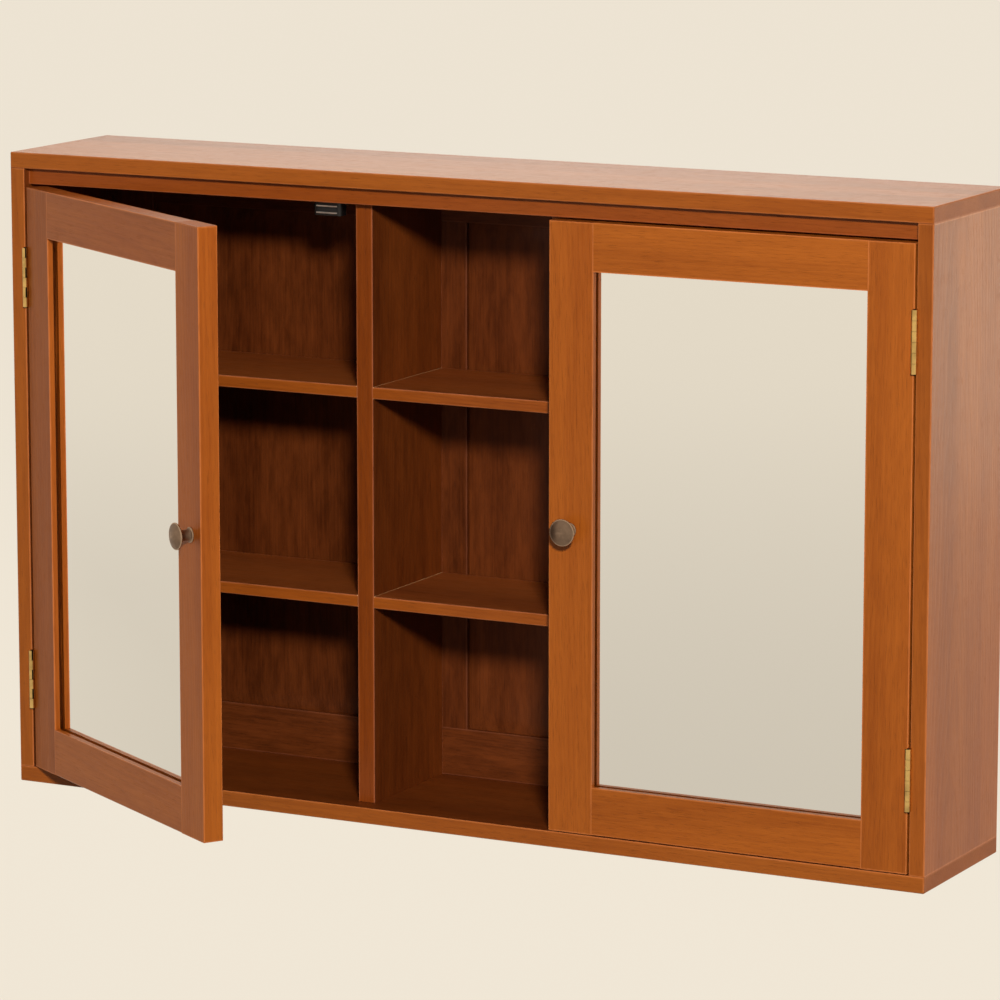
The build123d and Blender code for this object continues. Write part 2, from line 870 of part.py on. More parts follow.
def strike_plate(label, frame, out):
    """The steel plate on the door's back that the catch holds."""
    with BuildPart(frame) as plate:
        block(
            (out * strike_u() - strike_width / 2, door_back, catch_middle_z - strike_height / 2),
            (out * strike_u() + strike_width / 2, door_back + strike_thickness,
             catch_middle_z + strike_height / 2),
        )
        for reach in (-strike_screw_reach(), strike_screw_reach()):
            middle = Location(
                (out * strike_u() + reach, door_back + strike_thickness / 2, catch_middle_z),
                (90, 0, 0),
            )
            with Locations(middle):
                Cone(
                    small_screw_head_radius + screw_clearance,
                    small_screw_radius + screw_clearance,
                    strike_thickness,
                    mode=Mode.SUBTRACT,
                )
    save(plate, label)


def door_screws(label, frame, out):
    """The door's hinge screws and the two screws of its strike plate."""
    with BuildPart() as screws:
        for height in hinge_heights:
            for depth, rise in hinge_screw_places():
                origin = frame.from_local_coords((out * leaf_gap / 2, depth, height + rise))
                place = Plane(origin=origin, x_dir=(0, 0, 1), z_dir=frame.x_dir * -out)
                screw(
                    place, hinge_screw_head_radius, leaf_thickness,
                    hinge_screw_radius, hinge_screw_length,
                )
        for reach in (-strike_screw_reach(), strike_screw_reach()):
            origin = frame.from_local_coords((out * strike_u() + reach,
                                              door_back + strike_thickness, catch_middle_z))
            place = Plane(origin=origin, x_dir=frame.x_dir, z_dir=frame.y_dir)
            screw(
                place, small_screw_head_radius, strike_thickness,
                small_screw_radius, small_screw_length,
            )
    save(screws, label)


def door(side, hand, ajar):
    """Every piece of one door, turned open by ajar degrees."""
    frame = door_frame(hand, ajar)
    out = -hand
    hinge_stile(f"{side}_door_hinge_stile", frame, out)
    latch_stile(f"{side}_door_latch_stile", frame, out)
    door_rail(f"{side}_door_top_rail", frame, out, door_top_z - rail_width, 1, True)
    door_rail(f"{side}_door_bottom_rail", frame, out, door_bottom_z, -1, False)
    rebate_filler(
        f"{side}_door_mirror", frame, out, mirror_front, backing_front, mirror_edge_gap,
    )
    rebate_filler(f"{side}_door_backing_board", frame, out, backing_front, bead_front, 0)
    retaining_beads(f"{side}_door_retaining_beads", frame, out)
    knob(f"{side}_door_knob", frame, out)
    knob_screw(f"{side}_door_knob_screw", frame, out)
    strike_plate(f"{side}_door_strike_plate", frame, out)
    door_screws(f"{side}_door_screws", frame, out)


def hinges(side, hand, ajar):
    """The two hinges of one door: a leaf on the cabinet's side and a leaf on the door."""
    closed = door_frame(hand, 0)
    turned = door_frame(hand, ajar)
    for place, height in zip(("upper", "lower"), hinge_heights):
        name = f"{side}_{place}_hinge"
        hinge_leaf(f"{name}_frame_leaf", closed, hand, height, 0, frame_roll_gap_angle)
        hinge_leaf(f"{name}_door_leaf", turned, -hand, height, 1, door_roll_gap_angle)


os.makedirs("parts", exist_ok=True)

end_board("top_board", 1)
end_board("bottom_board", -1)
for side, hand in SIDES:
    hinge_side(f"{side}_side", hand)
    partition(f"{side}_partition", hand)
head_rail()
for level, height_word in enumerate(("lower", "upper")):
    shelf(f"left_{height_word}_shelf", -inner_x, -bay_outer_x, level)
    shelf(f"middle_{height_word}_shelf", -bay_x, bay_x, level)
    shelf(f"right_{height_word}_shelf", bay_outer_x, inner_x, level)
back()
corner_dowels()
for side, hand in SIDES:
    catch_body(f"{side}_catch_body", hand)
catch_pole_plates()
catch_magnets()
cabinet_screws()
hinge_pins()
for (side, hand), ajar in zip(SIDES, (left_door_ajar, right_door_ajar)):
    door(side, hand, ajar)
    hinges(side, hand, ajar)
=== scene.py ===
import json
import random
from math import cos, pi, radians, sin, sqrt

import bmesh
import bpy
from mathutils import Matrix, Vector


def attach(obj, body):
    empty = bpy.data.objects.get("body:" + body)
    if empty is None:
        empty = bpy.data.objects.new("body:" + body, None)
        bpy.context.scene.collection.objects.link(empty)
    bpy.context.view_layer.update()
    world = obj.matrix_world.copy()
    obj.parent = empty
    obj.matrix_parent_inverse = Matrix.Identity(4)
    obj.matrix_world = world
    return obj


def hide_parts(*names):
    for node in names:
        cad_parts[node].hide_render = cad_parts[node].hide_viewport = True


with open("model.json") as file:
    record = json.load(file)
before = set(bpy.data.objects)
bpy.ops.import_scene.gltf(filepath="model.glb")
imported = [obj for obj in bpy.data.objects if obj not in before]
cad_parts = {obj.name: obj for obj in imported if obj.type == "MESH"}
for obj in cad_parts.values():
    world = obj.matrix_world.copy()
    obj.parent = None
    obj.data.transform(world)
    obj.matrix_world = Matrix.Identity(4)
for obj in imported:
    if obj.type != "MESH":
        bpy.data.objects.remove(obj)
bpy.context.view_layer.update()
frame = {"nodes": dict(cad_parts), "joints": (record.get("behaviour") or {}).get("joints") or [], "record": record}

bl_info = {
    "name": "Teak Mirror Cabinet",
    "version": (1, 0, 0),
    "blender": (4, 5, 0),
    "location": "3D View > Sidebar > Cabinet",
    "description": "Wall-hung teak bathroom cabinet with two mirror doors",
    "category": "Object",
}

SIDES = (("left", -1), ("right", 1))
PLACES = ("upper", "lower")
JOINTS = {joint["name"]: joint for joint in frame["joints"]}
BODY_OF = {
    node: body
    for body, members in frame["record"]["behaviour"]["bodies"].items()
    for node in members
}
MM = 0.001
WARM_WHITE = (1.0, 0.97, 0.92)

# The way to the inside of the cabinet from each outer board
INWARDS = {
    "top_board": (0, 0, -1),
    "bottom_board": (0, 0, 1),
    "left_side": (1, 0, 0),
    "right_side": (-1, 0, 0),
}
PARTITIONS = ("left_partition", "right_partition")
SHELVES = tuple(
    f"{bay}_{level}_shelf" for bay in ("left", "middle", "right") for level in ("lower", "upper")
)
BACK = (
    "back_left_stile", "back_right_stile", "back_top_rail", "back_bottom_rail",
    "back_left_muntin", "back_right_muntin",
    "back_left_panel", "back_middle_panel", "back_right_panel",
)
DOOR_MEMBERS = ("hinge_stile", "latch_stile", "top_rail", "bottom_rail", "retaining_beads")
LEAVES = ("frame_leaf", "door_leaf")
FORWARDS, UPWARDS = (0, -1, 0), (0, 0, 1)

# Each timber look: its colour pair in the settings and what differs from plain timber; the inside, shelf and back
# copies are darker to paint shade
TIMBERS = {
    "carcass_teak": ("carcass", {}),
    "door_teak": ("door", {}),
    # A darker copy: painted shade under the top's overhang on the head rail, the own darker wood of the partition
    # fronts
    "rail_teak": ("rail", {}),
    # Painted shade: the inside faces of the carcass and the partitions take this darker copy of the teak
    "inside_teak": ("inside", {"worn": 0.8, "mottled": 0.30}),
    # Painted shade: the shelves take this darker copy of the teak, and their fronts the lighter edge copy
    "shelf_teak": ("shelf", {"mottled": 0.30, "housed": 4 * MM}),
    "shelf_edge": ("edge", {}),
    # Painted shade: the back takes this dark copy of the teak
    "back_teak": ("back", {"rougher": 0.06, "worn": 0.3, "mottled": 0.42}),
}

SHORTEST_EASED = 12 * MM
PLATE_EASE = 0.3 * MM
METAL_EASE = 0.15 * MM
SHORTEST_METAL_EDGE = 0.5 * MM
SILVER_DEPTH = 2.6 * MM

# Name, azimuth, elevation, distance, width, power and colour
LAMPS = (
    ("front fill", 8, 3, 6.0, 3.0, 28, WARM_WHITE),
    ("left lamp", -100, 12, 6.0, 2.5, 122, (1.0, 0.94, 0.76)),
    ("back lamp", 205, 35, 6.0, 3.0, 260, WARM_WHITE),
    ("side lamp", 118, 15, 6.0, 3.0, 150, WARM_WHITE),
)
SHEEN_LAMPS = (
    ("top sheen", -152.5, 15, 8.0, 3.2, 21, (0.93, 1.0, 0.90)),
    ("side sheen", 152.5, -9, 8.0, 3.0, 58, (0.93, 1.0, 0.82)),
)
CAMERA_PLACE = (2.2607, -4.4141, 0.8709)


# --- Settings ---
def colour_setting(name, description, default):
    return bpy.props.FloatVectorProperty(
        name=name, description=description, default=default,
        subtype="COLOR", size=3, min=0.0, max=1.0,
    )


def length_setting(name, description, default):
    return bpy.props.FloatProperty(
        name=name, description=description, default=default,
        unit="LENGTH", subtype="DISTANCE", min=0.0, precision=5,
    )


def share_setting(name, description, default):
    return bpy.props.FloatProperty(
        name=name, description=description, default=default,
        subtype="FACTOR", min=0.0, max=1.0,
    )


class CabinetTimber(bpy.types.PropertyGroup):
    """Colours and finish of the timber."""

    door_pale: colour_setting("Door pale", "Early wood of the doors", (0.52, 0.135, 0.014))
    door_deep: colour_setting("Door deep", "Late wood of the doors", (0.29, 0.062, 0.005))
    carcass_pale: colour_setting("Carcass pale", "Early wood of the carcass", (0.47, 0.124, 0.014))
    carcass_deep: colour_setting("Carcass deep", "Late wood of the carcass", (0.25, 0.055, 0.005))
    # The rail colours paint the shade under the top's overhang on the head rail; on the partition fronts they are
    # the wood's own darker colour
    rail_pale: colour_setting(
        "Rail pale", "Early wood of the rail and partition fronts", (0.35, 0.078, 0.009)
    )
    rail_deep: colour_setting(
        "Rail deep", "Late wood of the rail and partition fronts", (0.18, 0.035, 0.004)
    )
    # The inside colours are painted shade, a darker copy of the carcass teak
    inside_pale: colour_setting("Inside pale", "Early wood of the inside", (0.22, 0.050, 0.008))
    inside_deep: colour_setting("Inside deep", "Late wood of the inside", (0.085, 0.017, 0.003))
    # The shelf edge colours are a lighter copy for the shelf fronts: painted light
    edge_pale: colour_setting(
        "Shelf edge pale", "Early wood of the shelf fronts", (0.45, 0.112, 0.013)
    )
    edge_deep: colour_setting(
        "Shelf edge deep", "Late wood of the shelf fronts", (0.24, 0.050, 0.005)
    )
    # The shelf colours are a darker copy for the shelves: painted shade
    shelf_pale: colour_setting("Shelf pale", "Early wood of the shelves", (0.34, 0.086, 0.017))
    shelf_deep: colour_setting("Shelf deep", "Late wood of the shelves", (0.16, 0.036, 0.008))
    # The back colours are painted shade, a dark copy of the teak
    back_pale: colour_setting("Back pale", "Early wood of the back", (0.18, 0.042, 0.009))
    back_deep: colour_setting("Back deep", "Late wood of the back", (0.065, 0.014, 0.003))
    gloss: share_setting("Roughness", "Roughness of the oiled surface", 0.36)
    eased: length_setting("Eased edge", "Width of the eased edges", 0.0004)


class CabinetMetal(bpy.types.PropertyGroup):
    """Colours and finish of the metal, the mirrors and the catches."""

    brass: colour_setting("Brass", "Colour of the hinges and screws", (0.80, 0.52, 0.18))
    bronze: colour_setting("Bronze", "Patina of the knobs", (0.10, 0.062, 0.045))
    bronze_worn: colour_setting(
        "Worn bronze", "Bright rubbed edges of the knobs", (0.44, 0.30, 0.205)
    )
    steel: colour_setting("Steel", "Colour of the plates", (0.86, 0.85, 0.83))
    silver: colour_setting("Silver", "Tint of the mirrors", (0.93, 0.92, 0.89))
    plastic: colour_setting("Plastic", "Moulded catch bodies", (0.005, 0.0035, 0.0035))
    slot_width: length_setting("Screw slot", "Width of the slots in the screw heads", 0.0007)
    slot_depth: length_setting("Slot depth", "Depth of the slots in the screw heads", 0.0006)


class CabinetStudio(bpy.types.PropertyGroup):
    """Backdrop, lights and camera."""

    backdrop: colour_setting(
        "Backdrop", "Colour of the floor and the backdrop", (0.84, 0.765, 0.645)
    )
    key_power: bpy.props.FloatProperty(
        name="Key", description="Power of the main lamp", default=242.0, unit="POWER", min=0.0,
    )
    ambient: share_setting("Ambient", "Strength of the light from all round", 0.045)
    lens: bpy.props.FloatProperty(
        name="Lens", description="Focal length in millimetres", default=181.4, min=1.0,
    )
    azimuth: bpy.props.FloatProperty(
        name="Camera azimuth", description="Turn of the view from straight on",
        default=radians(27.532), subtype="ANGLE",
    )
    drop: bpy.props.FloatProperty(
        name="Camera drop", description="How far the view looks down",
        default=radians(10.169), subtype="ANGLE",
    )


# --- Shader arithmetic ---
class Shade:
    """A socket of a material's node tree that takes part in Python arithmetic."""

    def __init__(self, tree, socket=None):
        self.tree = tree
        self.socket = socket

    def node(self, kind, settings=None, inputs=None, output=0):
        """A node of the tree: its settings first, then the values or links of its sockets."""
        made = self.tree.nodes.new(kind)
        for name, value in (settings or {}).items():
            if name == "stops":
                ramp = made.color_ramp
                while len(ramp.elements) < len(value):
                    ramp.elements.new(1.0)
                for element, (place, colour) in zip(ramp.elements, value):
                    element.position = place
                    element.color = (*colour, 1.0)
            else:
                setattr(made, name, value)
        for name, value in (inputs or {}).items():
            if isinstance(value, Shade):
                self.tree.links.new(value.socket, made.inputs[name])
            elif isinstance(value, tuple) and len(value) != len(made.inputs[name].default_value):
                made.inputs[name].default_value = (*value, 1.0)
            else:
                made.inputs[name].default_value = value
        return Shade(self.tree, made.outputs[output])

    def math(self, operation, *values):
        return self.node(
            "ShaderNodeMath", {"operation": operation}, dict(enumerate((self, *values)))
        )

    def vector(self, operation, *values, output=0):
        return self.node(
            "ShaderNodeVectorMath", {"operation": operation},
            dict(enumerate((self, *values))), output,
        )

    def __add__(self, other):
        return self.math("ADD", other)

    def __radd__(self, other):
        return self.math("ADD", other)

    def __sub__(self, other):
        return self.math("SUBTRACT", other)

    def __rsub__(self, other):
        return self.math("MULTIPLY", -1.0).math("ADD", other)

    def __mul__(self, other):
        return self.math("MULTIPLY", other)

    def __rmul__(self, other):
        return self.math("MULTIPLY", other)

    def rise(self, low, high):
        """0 below low, 1 above high and a smooth rise between them."""
        return self.node(
            "ShaderNodeMapRange", {"interpolation_type": "SMOOTHSTEP"},
            {0: self, 1: low, 2: high, 3: 0.0, 4: 1.0},
        )

    def mix(self, first, second):
        """The first colour where this value is 0 and the second where it is 1."""
        return self.node(
            "ShaderNodeMix", {"data_type": "RGBA"}, {0: self, 6: first, 7: second}, 2
        )

    def join(self, x, y, z):
        """A vector from three values."""
        return self.node("ShaderNodeCombineXYZ", None, {0: x, 1: y, 2: z})

    def parts(self):
        """The three components of a vector."""
        split = self.node("ShaderNodeSeparateXYZ", None, {0: self})
        return [Shade(self.tree, out) for out in split.socket.node.outputs]

    def noise(self, scale, detail=2.0, roughness=0.5):
        """Noise whose features are 1 / scale metres long, with one scale or one for each axis."""
        place = self.vector("MULTIPLY", scale if isinstance(scale, tuple) else (scale,) * 3)
        return self.node(
            "ShaderNodeTexNoise", None,
            {"Vector": place, "Scale": 1.0, "Detail": detail, "Roughness": roughness},
        )

    def named(self, name, output=1):
        """An attribute of the mesh: output 1 is its vector and 2 its number."""
        return self.node("ShaderNodeAttribute", {"attribute_name": name}, None, output)


class Surface:
    """A new material with one Principled shader."""

    def __init__(self, name):
        self.material = bpy.data.materials.new(name)
        self.material.use_nodes = True
        tree = self.material.node_tree
        self.shader = tree.nodes["Principled BSDF"]
        self.shade = Shade(tree)

    def set(self, name, value):
        """Links a value that changes over the surface, or sets a constant one."""
        if isinstance(value, Shade):
            value.tree.links.new(value.socket, self.shader.inputs[name])
        elif isinstance(value, tuple) and len(value) == 3:
            self.shader.inputs[name].default_value = (*value, 1.0)
        else:
            self.shader.inputs[name].default_value = value

    def bump(self, height, distance, strength=1.0):
        normal = self.shade.node(
            "ShaderNodeBump", None,
            {"Strength": strength, "Distance": distance, "Height": height},
        )
        self.set("Normal", normal)

    def place(self):
        """Position in the frame of the piece."""
        return self.shade.node("ShaderNodeTexCoord", None, None, 3)


# --- Materials ---
def scaled(colour, share, lift=0.0):
    """The colour times a share, plus a lift."""
    return tuple(min(part * share + lift, 1.0) for part in colour)


def timber(name, pale, deep, gloss, rougher=0.0, worn=0.65, mottled=0.16, housed=0.0):
    """Oiled hardwood sawn near the heart, with figure, fibres, pores and pale edges, part rubbed wear and part
    painted highlight.

    worn and mottled are the strengths of its pale edges and of its cloudy figure. housed is the
    depth that its ends are let into other boards, where a pale line is drawn along the joint.
    """
    rings_per_metre, ring_sway = 260.0, 2.2
    heart_wander, heart_swing, heart_drift, heart_lean, heart_depth = 0.07, 0.16, 0.03, 0.05, 0.035
    ragged_by, wear_and_highlight_low, wear_and_highlight_high = 1.6 * MM, 0.2 * MM, 1.8 * MM
    end_low, end_high = 0.25 * MM, 0.6 * MM
    joint_line_ragged, joint_line_low, joint_line_high, joint_line_pale = 0.8 * MM, 0.6 * MM, 1.4 * MM, (0.70, 0.38, 0.17)

    surface = Surface(name)
    shade = surface.shade
    grain = shade.named("grain")
    shift, tone, swing = shade.named("board").parts()
    place = grain.vector("ADD", shade.join(shift * 7.3, shift * 3.1, shift * 5.7))
    along, across, through = grain.parts()

    # Growth rings lie round a heart that wanders below the board
    wander = place.noise((1.1, 5.0, 5.0))
    sway = place.noise((5.0, 28.0, 28.0))
    from_heart = across + (wander - 0.5) * heart_wander + (swing - 0.5) * heart_swing
    over_heart = through + swing * heart_drift + along * heart_lean + heart_depth
    radius = shade.join(0.0, from_heart, over_heart).vector("LENGTH", output=1)
    ring = (radius * rings_per_metre + sway * ring_sway).math("FRACT")
    late = ring.rise(0.35, 0.97) * (1 - ring.rise(0.97, 1.0))
    bands = place.noise((0.8, 16.0, 16.0), 3.0).rise(0.30, 0.72)
    fibres = place.noise((7.0, 520.0, 520.0), 3.0, 0.62)
    pores = place.noise((60.0, 1900.0, 1900.0), 1.0).rise(0.62, 0.74)
    mottle = place.noise((26.0, 95.0, 95.0), 4.0, 0.62).rise(0.32, 0.70)

    # The distance from the nearest edge is the middle one of those from the three pairs of faces
    reach_along, reach_across, reach_through = (
        shade.named("reach").vector("SUBTRACT", grain.vector("ABSOLUTE")).parts()
    )
    smaller = reach_along.math("MINIMUM", reach_across)
    larger = reach_along.math("MAXIMUM", reach_across)
    from_edge = smaller.math("MAXIMUM", larger.math("MINIMUM", reach_through))
    ragged = place.noise((40.0, 160.0, 160.0), 3.0)
    # Pale edges: part rubbed wear, part a painted highlight along the arrises
    rubbed = 1 - (from_edge + (ragged - 0.5) * ragged_by).rise(wear_and_highlight_low, wear_and_highlight_high)
    sawn_end = 1 - reach_along.rise(end_low, end_high)

    depth = (
        bands * 0.52
        + late * 0.09
        + (mottle - 0.5) * mottled
        + (fibres - 0.5) * 0.78
        + tone * 0.09
        + 0.15
    )
    ramp = depth.node(
        "ShaderNodeValToRGB", {"stops": ((0.0, pale), (1.0, deep))}, {0: depth}
    )
    blotch = place.noise((2.0, 9.0, 9.0), 2.0).rise(0.35, 0.75) * 0.20
    redder = tuple(part * share for part, share in zip(deep, (1.15, 0.80, 0.70)))
    colour = blotch.mix(ramp, redder)
    colour = (pores * 0.25).mix(colour, scaled(deep, 0.35))
    # Painted highlight and wear: the edges are mixed towards a paler colour
    colour = (rubbed * worn).mix(colour, scaled(pale, 1.35, 0.04))
    colour = (sawn_end * 0.45).mix(colour, scaled(deep, 0.9))
    # A pale line is drawn where the ends are let into other boards
    if housed:
        from_joint = (reach_along - housed).math("ABSOLUTE")
        joint_line = 1 - (from_joint + (ragged - 0.5) * joint_line_ragged).rise(joint_line_low, joint_line_high)
        colour = (joint_line * 0.9).mix(colour, joint_line_pale)
    surface.set("Base Color", colour)
    surface.set(
        "Roughness",
        (fibres - 0.5) * 0.10 + pores * 0.2 + sawn_end * 0.18 - rubbed * 0.05 + (gloss + rougher),
    )
    surface.bump(fibres * 0.8 - pores * 1.0 - late * 0.3, 0.3 * MM, 0.6)
    surface.set("Specular IOR Level", 0.15)
    surface.set("Coat Weight", 0.15)
    surface.set("Coat Roughness", 0.18)
    surface.set("Coat IOR", 1.3)
    return surface.material


def metal(name, colour, worn, roughness, brushed):
    """Metal with a mottled film and bright scratches. brushed is their fineness along each axis."""
    surface = Surface(name)
    place = surface.place()
    scratches = place.noise(brushed, 3.0, 0.7)
    film = place.noise(90.0, 3.0)
    tint = film.rise(0.35, 0.75).mix(colour, scaled(colour, 0.62))
    surface.set("Base Color", (scratches.rise(0.5, 0.8) * 0.5).mix(tint, worn))
    surface.set("Metallic", 1.0)
    surface.set("Roughness", (scratches - 0.5) * 0.25 + film * 0.12 + roughness)
    surface.bump(scratches, 0.03 * MM, 0.6)
    return surface.material


def patina(name, dark, bright):
    """Antique bronze: a dark film rubbed bright on the proud edges."""
    surface = Surface(name)
    place = surface.place()
    cloud = place.noise(260.0, 4.0, 0.6)
    turned = place.noise(120.0, 3.0)
    proud = surface.shade.named("proud", 2)
    rubbed = (proud + (cloud - 0.5) * 0.7).rise(0.35, 0.95)
    surface.set("Base Color", rubbed.mix((turned * 0.7).mix(dark, bright), bright))
    surface.set("Metallic", 1.0)
    surface.set("Roughness", 0.46 - rubbed * 0.2 + (cloud - 0.5) * 0.2)
    surface.bump(cloud, 0.06 * MM, 0.5)
    return surface.material


def mirror_silver(name, tint):
    """The silvered face, with a trace of haze."""
    surface = Surface(name)
    haze = surface.place().noise(7.0, 3.0)
    surface.set("Base Color", (haze * 0.05).mix(tint, scaled(tint, 0.8)))
    surface.set("Metallic", 1.0)
    surface.set("Roughness", haze.rise(0.5, 0.9) * 0.02 + 0.006)
    return surface.material


def glass_edge(name):
    """The ground green edge of the mirror glass."""
    surface = Surface(name)
    speckle = surface.place().noise(1400.0)
    surface.set("Base Color", speckle.mix((0.16, 0.34, 0.26), (0.32, 0.52, 0.44)))
    surface.set("Roughness", speckle * 0.2 + 0.25)
    surface.bump(speckle, 0.03 * MM)
    return surface.material


def backing_paint(name):
    """Grey paint over the silver, on the back of the mirror."""
    surface = Surface(name)
    mottle = surface.place().noise(60.0, 4.0)
    surface.set("Base Color", mottle.mix((0.16, 0.17, 0.18), (0.26, 0.27, 0.28)))
    surface.set("Roughness", mottle * 0.2 + 0.5)
    surface.bump(mottle, 0.05 * MM)
    return surface.material


def hardboard(name):
    """Pressed fibre board with the print of its wire screen."""
    surface = Surface(name)
    place = surface.place()
    fibre = place.noise(420.0, 4.0, 0.7)
    cloud = place.noise(22.0, 3.0)
    x, _, z = place.parts()
    wires = 3100.0  # radians of the wire pattern in a metre
    screen = (x * wires).math("SINE") * (z * wires).math("SINE")
    colour = fibre.rise(0.3, 0.75).mix((0.20, 0.105, 0.048), (0.36, 0.215, 0.115))
    surface.set("Base Color", (cloud * 0.4).mix(colour, (0.17, 0.088, 0.04)))
    surface.set("Roughness", fibre * 0.25 + 0.62)
    surface.bump(screen * 0.35 + fibre, 0.16 * MM)
    return surface.material


def moulded(name, colour, grit, roughness):
    """Moulded or sintered stuff with a fine even texture."""
    surface = Surface(name)
    place = surface.place()
    stipple = place.noise(grit, 3.0)
    cloud = place.noise(80.0)
    paler = scaled(colour, 1.8, 0.002)
    surface.set("Base Color", ((stipple + cloud) * 0.5).rise(0.35, 0.8).mix(colour, paler))
    surface.set("Roughness", stipple * 0.3 + roughness)
    surface.bump(stipple, 0.05 * MM)
    return surface.material


def materials():
    """The cabinet's materials by name, made once."""
    made = {m.name: m for m in bpy.data.materials if m.name.endswith(".look")}
    if made:
        return {name.removesuffix(".look"): m for name, m in made.items()}
    wood = bpy.context.scene.cabinet_timber
    part = bpy.context.scene.cabinet_metal
    looks = {}
    for name, (pair, features) in TIMBERS.items():
        pale, deep = (tuple(getattr(wood, f"{pair}_{depth}")) for depth in ("pale", "deep"))
        looks[name] = timber(f"{name}.look", pale, deep, wood.gloss, **features)
    beech_pale, beech_deep, beech_roughness = (0.62, 0.40, 0.22), (0.44, 0.26, 0.13), 0.6
    rolled, turned, ground = (900.0, 900.0, 60.0), (700.0, 700.0, 700.0), (60.0, 900.0, 900.0)
    brass, bright = tuple(part.brass), scaled(part.brass, 1.25)
    # The pins are drawn in a dark metal, not in the hinges' brass
    pin_dark, pin_dark_worn = (0.05, 0.038, 0.030), (0.12, 0.09, 0.07)
    zinc, zinc_worn = (0.62, 0.63, 0.60), (0.8, 0.8, 0.8)
    steel, steel_worn = tuple(part.steel), (0.95, 0.94, 0.92)
    looks |= {
        "dowel_beech": timber("dowel_beech.look", beech_pale, beech_deep, beech_roughness),
        "mirror": mirror_silver("mirror.look", tuple(part.silver)),
        "glass_edge": glass_edge("glass_edge.look"),
        "mirror_back": backing_paint("mirror_back.look"),
        "backing_board": hardboard("backing_board.look"),
        "hinge_brass": metal("hinge_brass.look", brass, bright, 0.24, rolled),
        "pin_steel": metal("pin_steel.look", pin_dark, pin_dark_worn, 0.5, rolled),
        "brass_screw": metal("brass_screw.look", brass, bright, 0.20, turned),
        "knob_bronze": patina("knob_bronze.look", tuple(part.bronze), tuple(part.bronze_worn)),
        "zinc_screw": metal("zinc_screw.look", zinc, zinc_worn, 0.26, rolled),
        "catch_steel": metal("catch_steel.look", steel, steel_worn, 0.34, ground),
        "magnet": moulded("magnet.look", (0.010, 0.009, 0.009), 2600.0, 0.6),
        "catch_plastic": moulded("catch_plastic.look", tuple(part.plastic), 1700.0, 0.34),
    }
    return looks


# --- Mesh tools ---
def home_of(node):
    """The frame that the node's piece is square in: its door's, on the pin, or the cabinet's."""
    body = BODY_OF[node]
    if body == "cabinet":
        return Matrix.Identity(4)
    joint = JOINTS[body + "_swing"]
    hand = dict(SIDES)[body.removesuffix("_door")]
    ajar = radians(-joint["range_deg"][0])
    return Matrix.Translation(joint["pos_m"]) @ Matrix.Rotation(hand * ajar, 4, "Z")


def welded(node):
    """The node's mesh in its home frame, with split corners joined and flat faces whole."""
    bm = bmesh.new()
    bm.from_mesh(frame["nodes"][node].data)
    bmesh.ops.transform(bm, matrix=home_of(node).inverted(), verts=bm.verts)
    bmesh.ops.remove_doubles(bm, verts=bm.verts, dist=1e-6)
    bmesh.ops.dissolve_limit(
        bm, angle_limit=radians(0.4), verts=bm.verts, edges=bm.edges, delimit={"MATERIAL"}
    )
    return bm


def ease(bm, width, shortest):
    """Takes the sharp edge off every outside corner that is at least shortest long."""
    bm.normal_update()
    sharp = [
        e for e in bm.edges
        if e.is_manifold
        and e.calc_length() > shortest
        and e.calc_face_angle_signed(0.0) > radians(60)
    ]
    bmesh.ops.bevel(
        bm, geom=sharp, offset=width, offset_type="OFFSET", segments=2,
        profile=0.5, affect="EDGES", clamp_overlap=True,
    )


def islands(bm):
    """Groups of vertices that hang together, in the mesh's own order."""
    seen, groups = set(), []
    for first in bm.verts:
        if first in seen:
            continue
        seen.add(first)
        group, waiting = [], [first]
        while waiting:
            vert = waiting.pop()
            group.append(vert)
            for edge in vert.link_edges:
                other = edge.other_vert(vert)
                if other not in seen:
                    seen.add(other)
                    waiting.append(other)
        groups.append(group)
    return groups


def extent(verts):
    """Middle and half size of some vertices."""
    low = Vector(min(v.co[i] for v in verts) for i in range(3))
    high = Vector(max(v.co[i] for v in verts) for i in range(3))
    return (low + high) / 2, (high - low) / 2


def mark_grain(bm, seed):
    """Stores each vertex's place in its board, with X along the grain, and the board's own luck."""
    layers = [bm.verts.layers.float_vector.new(name) for name in ("grain", "reach", "board")]
    for index, group in enumerate(islands(bm)):
        middle, half = extent(group)
        order = sorted(range(3), key=lambda axis: -half[axis])
        luck = random.Random(f"{seed} {index}")
        board = Vector((luck.random(), luck.uniform(-1, 1), luck.random()))
        reach = Vector(half[axis] for axis in order)
        for vert in group:
            offset = vert.co - middle
            vert[layers[0]] = Vector(offset[axis] for axis in order)
            vert[layers[1]] = reach
            vert[layers[2]] = board


def finish_piece(bm, name, node, slots, smooth=35.0):
    """Puts a piece built in its home frame in place, on its body, for its CAD node."""
    bmesh.ops.transform(bm, matrix=home_of(node), verts=bm.verts)
    mesh = bpy.data.meshes.new(name)
    bm.to_mesh(mesh)
    bm.free()
    looks = materials()
    for slot in slots:
        mesh.materials.append(looks[slot])
    mesh.shade_smooth()
    mesh.set_sharp_from_angle(angle=radians(smooth))
    piece = bpy.data.objects.new(name, mesh)
    bpy.context.scene.collection.objects.link(piece)
    weighted = piece.modifiers.new("weighted normals", "WEIGHTED_NORMAL")
    weighted.keep_sharp = True
    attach(piece, BODY_OF[node])
    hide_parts(node)
    return piece


